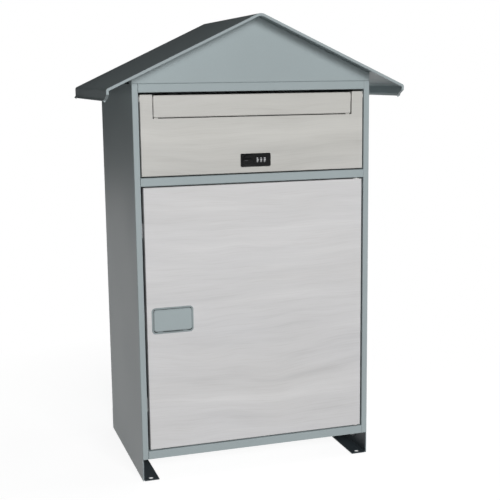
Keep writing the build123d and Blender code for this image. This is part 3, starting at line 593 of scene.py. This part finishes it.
class MakeLockFace(bpy.types.Operator):
    """Add the raised rim around the lock's dials, and the pointer on its knob"""

    bl_idname = "parcel_box.lock_face"
    bl_label = "Lock face"

    def execute(self, context):
        sizes = context.scene.parcel_box_sizes
        face = ends_of("lock_housing")[0].y
        first, last = ends_of("left_dial")[0], ends_of("right_dial")[1]
        sunk = 0.2 * MM  # depth of the rim's foot in the lock
        dial_radius = (last.z - first.z) / 2
        axle = dial_radius - (face - first.y)  # depth of the dials' axle behind the face
        swept = dial_radius + sizes.digit_depth
        dial_reach = math.sqrt(swept**2 - (axle - sunk) ** 2)
        side_gap, end_gap = 1.0 * MM, 0.3 * MM
        opening = (last.x - first.x + 2 * side_gap, 2 * (dial_reach + end_gap))

        shape = bmesh.new()
        bmesh.ops.create_grid(shape, x_segments=1, y_segments=1, size=0.5)
        outside = [width + 2 * sizes.rim_width for width in opening]
        bmesh.ops.scale(shape, verts=shape.verts, vec=(*outside, 1))
        bmesh.ops.bevel(
            shape,
            geom=shape.verts[:],
            offset=1.6 * MM,
            affect="VERTICES",
            segments=4,
            profile=0.5,
            material=-1,
        )
        band = bmesh.ops.inset_region(
            shape,
            faces=shape.faces[:],
            use_boundary=True,
            use_even_offset=True,
            thickness=sizes.rim_width,
        )["faces"]
        middle = [made for made in shape.faces if made not in set(band)]
        bmesh.ops.delete(shape, geom=middle, context="FACES")
        lift = bmesh.ops.extrude_face_region(shape, geom=shape.faces[:])["geom"]
        top = [item for item in lift if isinstance(item, bmesh.types.BMVert)]
        bmesh.ops.translate(shape, verts=top, vec=(0, 0, sizes.rim_height + sunk))
        bmesh.ops.recalc_face_normals(shape, faces=shape.faces)
        crest = [
            edge
            for edge in shape.edges
            if min(vert.co.z for vert in edge.verts) > sizes.rim_height
            and edge.calc_face_angle(0) > SHARP
        ]
        bmesh.ops.bevel(
            shape,
            geom=crest,
            offset=0.25 * MM,
            affect="EDGES",
            segments=2,
            profile=0.5,
            material=-1,
        )
        at = ((first.x + last.x) / 2, face + sunk, (first.z + last.z) / 2)
        bmesh.ops.transform(shape, matrix=facing(at, (0, -1, 0)), verts=shape.verts)
        piece(shape, "dial_rim", "lock_plastic", "letter_door", "black_plastic")

        knob_low, knob_high = ends_of("lock_knob")
        centre = (knob_low + knob_high) / 2
        shape = bmesh.new()
        bmesh.ops.create_cube(shape, size=1.0)
        bmesh.ops.scale(shape, verts=shape.verts, vec=(7.0 * MM, 0.5 * MM, 0.9 * MM))
        bmesh.ops.bevel(
            shape,
            geom=shape.edges[:],
            offset=0.15 * MM,
            affect="EDGES",
            segments=2,
            profile=0.5,
            material=-1,
        )
        middle_mark = (centre.x - 5.0 * MM, knob_low.y + 0.12 * MM, centre.z)
        bmesh.ops.translate(shape, verts=shape.verts, vec=middle_mark)
        piece(shape, "knob_pointer", "pointer_ink", "lock_knob", "dial_plastic")
        return {"FINISHED"}


class MakeHandleSpring(bpy.types.Operator):
    """Replace the handle's plain spring with a wound torsion spring"""

    bl_idname = "parcel_box.handle_spring"
    bl_label = "Handle spring"

    def execute(self, context):
        sizes = context.scene.parcel_box_sizes
        low, high = ends_of("handle_spring")
        pin = node_middle("handle_pin")
        wire = sizes.wire / 2
        pin_radius, pin_gap = 1.25 * MM, 0.25 * MM
        coil = pin_radius + pin_gap + wire
        turns = sizes.spring_turns + 0.75  # the legs stand a quarter turn apart
        start = low.x + wire
        run = high.x - low.x - 2 * wire
        steps = int(turns * 20)
        quarter = Matrix.Rotation(math.pi / 2, 3, "X")
        shape = bmesh.new()
        ring = bmesh.ops.create_circle(shape, segments=10, radius=wire)["verts"]
        bmesh.ops.rotate(shape, verts=ring, cent=(0, 0, 0), matrix=quarter)
        bmesh.ops.translate(shape, verts=ring, vec=(start, pin.y, pin.z - coil))
        first = shape.edges[:]
        rear_leg = bmesh.ops.extrude_edge_only(shape, edges=first)["geom"]
        rear = [item for item in rear_leg if isinstance(item, bmesh.types.BMVert)]
        bmesh.ops.translate(shape, verts=rear, vec=(0, high.y - pin.y - 0.1 * MM, 0))
        spun = bmesh.ops.spin(
            shape,
            geom=ring + first,
            cent=pin,
            axis=(-1, 0, 0),
            dvec=(run / steps, 0, 0),
            angle=2 * math.pi * turns,
            steps=steps,
        )["geom_last"]
        last = [item for item in spun if isinstance(item, bmesh.types.BMEdge)]
        front_leg = bmesh.ops.extrude_edge_only(shape, edges=last)["geom"]
        tip = [item for item in front_leg if isinstance(item, bmesh.types.BMVert)]
        bmesh.ops.translate(shape, verts=tip, vec=(0, 0, low.z - pin.z + 0.2 * MM))
        wire_ends = [edge for edge in shape.edges if edge.is_boundary]
        bmesh.ops.holes_fill(shape, edges=wire_ends, sides=0)
        bmesh.ops.recalc_face_normals(shape, faces=shape.faces)
        crossing = (
            "parcel_door",
            "handle",
            (start + 1.2 * wire, pin.y, pin.z),
            (start + run - 1.2 * wire, pin.y, pin.z),
        )
        piece(shape, "handle_coil_spring", "drawn_steel", crossing, "zinc_steel", ["handle_spring"])
        return {"FINISHED"}


class MakeFasteners(bpy.types.Operator):
    """Replace the plain screws, studs, nuts and rivets with threaded and recessed ones"""

    bl_idname = "parcel_box.fasteners"
    bl_label = "Fasteners"

    def execute(self, context):
        pitch = context.scene.parcel_box_sizes.thread_pitch

        def threaded(shape, place, radius, length):
            """Threaded shank that stands on a place."""
            depth = 0.5 * pitch
            root = radius - depth
            shank = [(0, 0), (root, 0), (root, length - 0.4 * MM)]
            shank += [(root - 0.5 * MM, length), (0, length)]
            copied(shape, turned(shank, 20), place)
            copied(shape, helix_ridge(root, depth, pitch, length - 0.5 * MM), place)

        low, high = ends_of("foot_studs")
        nut_high = ends_of("foot_nuts")[1]
        studs, nuts = bmesh.new(), bmesh.new()
        row = [low.y + M5_RADIUS, (low.y + high.y) / 2, high.y - M5_RADIUS]
        for side in (-1, 1):
            for y in row:
                at = (side * high.x, y, (low.z + high.z) / 2)
                threaded(studs, facing(at, (-side, 0, 0)), M5_RADIUS, 11.0 * MM)
                at = (side * nut_high.x, y, at[2])
                copied(nuts, hexagon_nut(*M5_NUT), facing(at, (-side, 0, 0)))
        piece(studs, "foot_threaded_studs", "zinc", "box", "zinc_steel", ["foot_studs"])
        piece(nuts, "foot_hexagon_nuts", "zinc", "box", "zinc_steel", ["foot_nuts"])

        low, high = ends_of("roof_screws")
        nut_low = ends_of("roof_nuts")[0]
        screws, nuts = bmesh.new(), bmesh.new()
        # two sheets are clamped at the front and three at the rear
        two_sheets, three_sheets = 2.4 * MM, 3.6 * MM
        clamps = (
            (low.y + PAN_HEAD, nut_low.z - two_sheets),
            (high.y - PAN_HEAD, nut_low.z - three_sheets),
        )
        for side in (-1, 1):
            for y, level in clamps:
                x = side * (high.x - PAN_HEAD)
                head = cross_head(PAN_HEAD, 2.8 * MM, 5.0 * MM, 1.5 * MM)
                copied(screws, head, facing((x, y, level), (0, 0, -1)))
                threaded(screws, facing((x, y, level), (0, 0, 1)), M5_RADIUS, 9.0 * MM)
                copied(nuts, hexagon_nut(*M5_NUT), facing((x, y, nut_low.z), (0, 0, 1)))
        piece(screws, "roof_cross_screws", "zinc", "box", "zinc_steel", ["roof_screws"])
        piece(nuts, "roof_hexagon_nuts", "zinc", "box", "zinc_steel", ["roof_nuts"])

        low, high = ends_of("back_panel_rivets")
        shape = bmesh.new()
        # radius and height in millimetres, from the mandrel's sunk end out to the rim
        head = [(0, 0.3), (0.9, 0.3), (0.9, 1.25), (1.15, 1.4)]
        head += [(2.1, 1.2), (3.0, 0.7), (3.5, 0.0), (0, 0)]
        rim = 3.5 * MM
        rivets = 5
        spacing = (high.z - low.z - 2 * rim) / (rivets - 1)
        for side in (-1, 1):
            for row in range(rivets):
                at = (side * (high.x - rim), low.y, low.z + rim + row * spacing)
                part = turned([(radius * MM, height * MM) for radius, height in head], 28)
                copied(shape, part, facing(at, (0, 1, 0)))
        piece(shape, "blind_rivets", "zinc", "box", "zinc_steel", ["back_panel_rivets"])

        low, high = ends_of("guide_screws")
        shape = bmesh.new()
        head_radius = 3.2 * MM
        for x in (low.x + head_radius, high.x - head_radius):
            at = (x, (low.y + high.y) / 2, low.z)
            head = cross_head(head_radius, 1.8 * MM, 3.6 * MM, 1.0 * MM)
            copied(shape, head, facing(at, (0, 0, 1)))
        piece(shape, "guide_cross_screws", "zinc", "box", "zinc_steel", ["guide_screws"])

        low, high = ends_of("cam_screw")
        shape = bmesh.new()
        head_height, thread_radius = 2.2 * MM, 1.6 * MM
        at = ((low.x + high.x) / 2, high.y - head_height, (low.z + high.z) / 2)
        head = cross_head(PAN_HEAD, head_height, 5.0 * MM, 1.2 * MM)
        copied(shape, head, facing(at, (0, 1, 0)))
        threaded(shape, facing(at, (0, -1, 0)), thread_radius, 8.0 * MM)
        piece(shape, "cam_cross_screw", "zinc", "lock_knob", "zinc_steel", ["cam_screw"])
        return {"FINISHED"}


class MakeBoltKnob(bpy.types.Operator):
    """Replace the drop bolt's plain knob with a fluted one"""

    bl_idname = "parcel_box.bolt_knob"
    bl_label = "Bolt knob"

    def execute(self, context):
        sizes = context.scene.parcel_box_sizes
        low, high = ends_of("bolt_knob")
        radius = (high.x - low.x) / 2
        height = high.z - low.z
        # radius and height in millimetres on a knob of 9 mm radius and 14 mm height
        profile = [(0, 0), (5.5, 0), (7.4, 0.5), (8.5, 2.0), (9.0, 3.6)]
        profile += [(9.0, 10.4), (8.5, 12.0), (7.4, 13.3), (5.5, 14.0), (0, 14.0)]
        line = [(across * radius / 9.0, up * height / 14.0) for across, up in profile]
        shape = turned(line, 2 * sizes.knurls)
        wall = [
            face
            for face in shape.faces
            if abs(face.normal.z) < 0.1 and face.calc_center_median().xy.length > radius * 0.9
        ]
        wall.sort(key=lambda face: math.atan2(*face.calc_center_median().xy))
        flutes = wall[::2]
        bmesh.ops.inset_individual(shape, faces=flutes, thickness=0.15 * MM, depth=-0.45 * MM)
        middle = (low + high) / 2
        bmesh.ops.translate(shape, verts=shape.verts, vec=(middle.x, middle.y, low.z))
        finish = ("catch_plastic", "drop_bolt", "black_plastic")
        piece(shape, "fluted_bolt_knob", *finish, ["bolt_knob"])
        return {"FINISHED"}


class MakeRodClips(bpy.types.Operator):
    """Replace the rod's plain collars with open retaining clips"""

    bl_idname = "parcel_box.rod_clips"
    bl_label = "Rod clips"

    def execute(self, context):
        high = ends_of("rod_clips")[1]
        rod = node_middle("letter_door_rod")
        shape = bmesh.new()
        for side in (-1, 1):
            part = bmesh.new()
            inner, outer, half = 2.5 * MM, 4.5 * MM, 0.5 * MM
            corners = [(inner, -half), (outer, -half), (outer, half), (inner, half)]
            part.faces.new([part.verts.new((radius, 0, height)) for radius, height in corners])
            bmesh.ops.spin(
                part,
                geom=part.verts[:] + part.edges[:] + part.faces[:],
                cent=(0, 0, 0),
                axis=(0, 0, 1),
                angle=math.radians(285),
                steps=30,
            )
            bmesh.ops.recalc_face_normals(part, faces=part.faces)
            turn = Matrix.Rotation(math.radians(-52), 4, "Z")  # the gap looks down and back
            at = (side * (high.x - 0.8 * MM), rod.y, rod.z)
            copied(shape, part, facing(at, (side, 0, 0)) @ turn)
        piece(shape, "rod_retaining_clips", "drawn_steel", "box", "zinc_steel", ["rod_clips"])
        return {"FINISHED"}


class MakeStage(bpy.types.Operator):
    """Make the floor, backdrop, soft lights and camera"""

    bl_idname = "parcel_box.stage"
    bl_label = "Stage"

    def floor_finish(self):
        """Pale floor that takes soft shadows near the box and fades to plain white further out."""
        recipe = Recipe("pale_floor")
        ball = recipe.node("ShaderNodeTexGradient", gradient_type="SPHERICAL")
        recipe.join(recipe.place((0.8, 0.8, 0.8)), ball.inputs["Vector"])
        near = recipe.ramp(ball.outputs["Fac"], (0.15, (0.0, 0.0, 0.0)), (0.6, (0.3, 0.3, 0.3)))
        glow = recipe.ramp(ball.outputs["Fac"], (0.15, (1.0, 1.0, 1.0)), (0.6, (0.88, 0.88, 0.88)))
        recipe.join(glow, recipe.shader.inputs["Emission Color"])
        return recipe.finish(base=near, emission_strength=1.0, specular_ior_level=0.0)

    def execute(self, context):
        settings = context.scene.parcel_box_stage
        scene = context.scene
        scene.view_settings.view_transform = "Standard"
        scene.view_settings.look = "None"

        world = bpy.data.worlds.new("soft_fill")
        scene.world = world
        world.use_nodes = True
        sky = world.node_tree.nodes["Background"]
        sky.inputs["Color"].default_value = (0.93, 0.97, 1.0, 1.0)
        sky.inputs["Strength"].default_value = settings.fill

        shape = bmesh.new()
        bmesh.ops.create_circle(shape, cap_ends=True, segments=128, radius=FLOOR_RADIUS)
        mesh = bpy.data.meshes.new("floor")
        shape.to_mesh(mesh)
        shape.free()
        mesh.materials.append(self.floor_finish())
        floor = bpy.data.objects.new("floor", mesh)
        floor.visible_diffuse = False
        scene.collection.objects.link(floor)

        shape = bmesh.new()
        bmesh.ops.create_icosphere(shape, subdivisions=4, radius=2 * FLOOR_RADIUS)
        bmesh.ops.reverse_faces(shape, faces=shape.faces)
        mesh = bpy.data.meshes.new("backdrop")
        shape.to_mesh(mesh)
        shape.free()
        white = Recipe("white_backdrop")
        mesh.materials.append(
            white.finish(
                base_color=(0, 0, 0, 1),
                emission_color=(1, 1, 1, 1),
                emission_strength=1.0,
                specular_ior_level=0.0,
            )
        )
        backdrop = bpy.data.objects.new("backdrop", mesh)
        backdrop.visible_diffuse = False
        backdrop.visible_glossy = False
        backdrop.visible_shadow = False
        scene.collection.objects.link(backdrop)

        def soft_light(name, at, target, across, power, mirrored=True):
            lamp = bpy.data.lights.new(name, "AREA")
            lamp.shape = "RECTANGLE"
            lamp.size = across[0]
            lamp.size_y = across[1]
            lamp.energy = power
            placed = bpy.data.objects.new(name, lamp)
            placed.location = at
            placed.visible_glossy = mirrored
            aim = Vector(target) - Vector(at)
            placed.rotation_euler = aim.to_track_quat("-Z", "Y").to_euler()
            scene.collection.objects.link(placed)

        middle = (0, -0.1, 0.5)
        power = settings.key_power
        soft_light("key", (0.1, -4.6, 1.95), middle, (2.4, 1.4), power, mirrored=False)
        soft_light("low_front", (-1.0, -4.6, 0.6), middle, (2.0, 1.2), 36.0)
        soft_light("back", (1.7, 3.8, 0.3), (0, 0, 0.4), (2.0, 0.5), 112.0, mirrored=False)
        soft_light("left", (-2.6, 0.3, 0.3), (-0.3, 0, 0.3), (1.4, 0.5), 2.2, mirrored=False)
        soft_light("right", (3.8, -0.2, 0.8), (0.3, 0, 0.5), (1.6, 1.4), 44.0, mirrored=False)

        lens = bpy.data.cameras.new("view")
        lens.sensor_width = 36.0
        lens.lens = settings.lens
        lens.clip_end = 60.0
        camera = bpy.data.objects.new("view", lens)
        camera.location = (-0.63782, -2.11332, 0.82202)
        camera.rotation_mode = "XYZ"
        aim_right, aim_down, lean = 17.67, 9.73, 0.67  # degrees
        aim = Matrix.Rotation(math.radians(-aim_right), 4, "Z")
        tilt = Matrix.Rotation(math.radians(90 - aim_down), 4, "X")
        roll = Matrix.Rotation(math.radians(-lean), 4, "Z")
        camera.rotation_euler = (aim @ tilt @ roll).to_euler()
        scene.collection.objects.link(camera)
        scene.camera = camera
        return {"FINISHED"}


OPERATORS = (
    MakeFinishes,
    MakeDialDigits,
    MakeLockFace,
    MakeHandleSpring,
    MakeFasteners,
    MakeBoltKnob,
    MakeRodClips,
    MakeStage,
)
GROUPS = {
    "parcel_box_sizes": BoxSizes,
    "parcel_box_colours": BoxColours,
    "parcel_box_stage": StageSettings,
}


class ParcelBoxPanel(bpy.types.Panel):
    """Settings and steps of the parcel box, in the 3D view's sidebar"""

    bl_idname = "VIEW3D_PT_parcel_box"
    bl_label = "Parcel Box"
    bl_space_type = "VIEW_3D"
    bl_region_type = "UI"
    bl_category = "Parcel Box"

    def draw(self, context):
        for name, group in GROUPS.items():
            column = self.layout.column(align=True)
            for key in group.__annotations__:
                column.prop(getattr(context.scene, name), key)
        for step in OPERATORS:
            self.layout.operator(step.bl_idname)


CLASSES = (*GROUPS.values(), *OPERATORS, ParcelBoxPanel)


def register():
    for item in CLASSES:
        bpy.utils.register_class(item)
    for name, group in GROUPS.items():
        setattr(bpy.types.Scene, name, PointerProperty(type=group))


def unregister():
    for name in GROUPS:
        delattr(bpy.types.Scene, name)
    for item in reversed(CLASSES):
        bpy.utils.unregister_class(item)


def main():
    register()
    for step in OPERATORS:
        group, name = step.bl_idname.split(".")
        getattr(getattr(bpy.ops, group), name)()


if __name__ == "__main__":
    main()
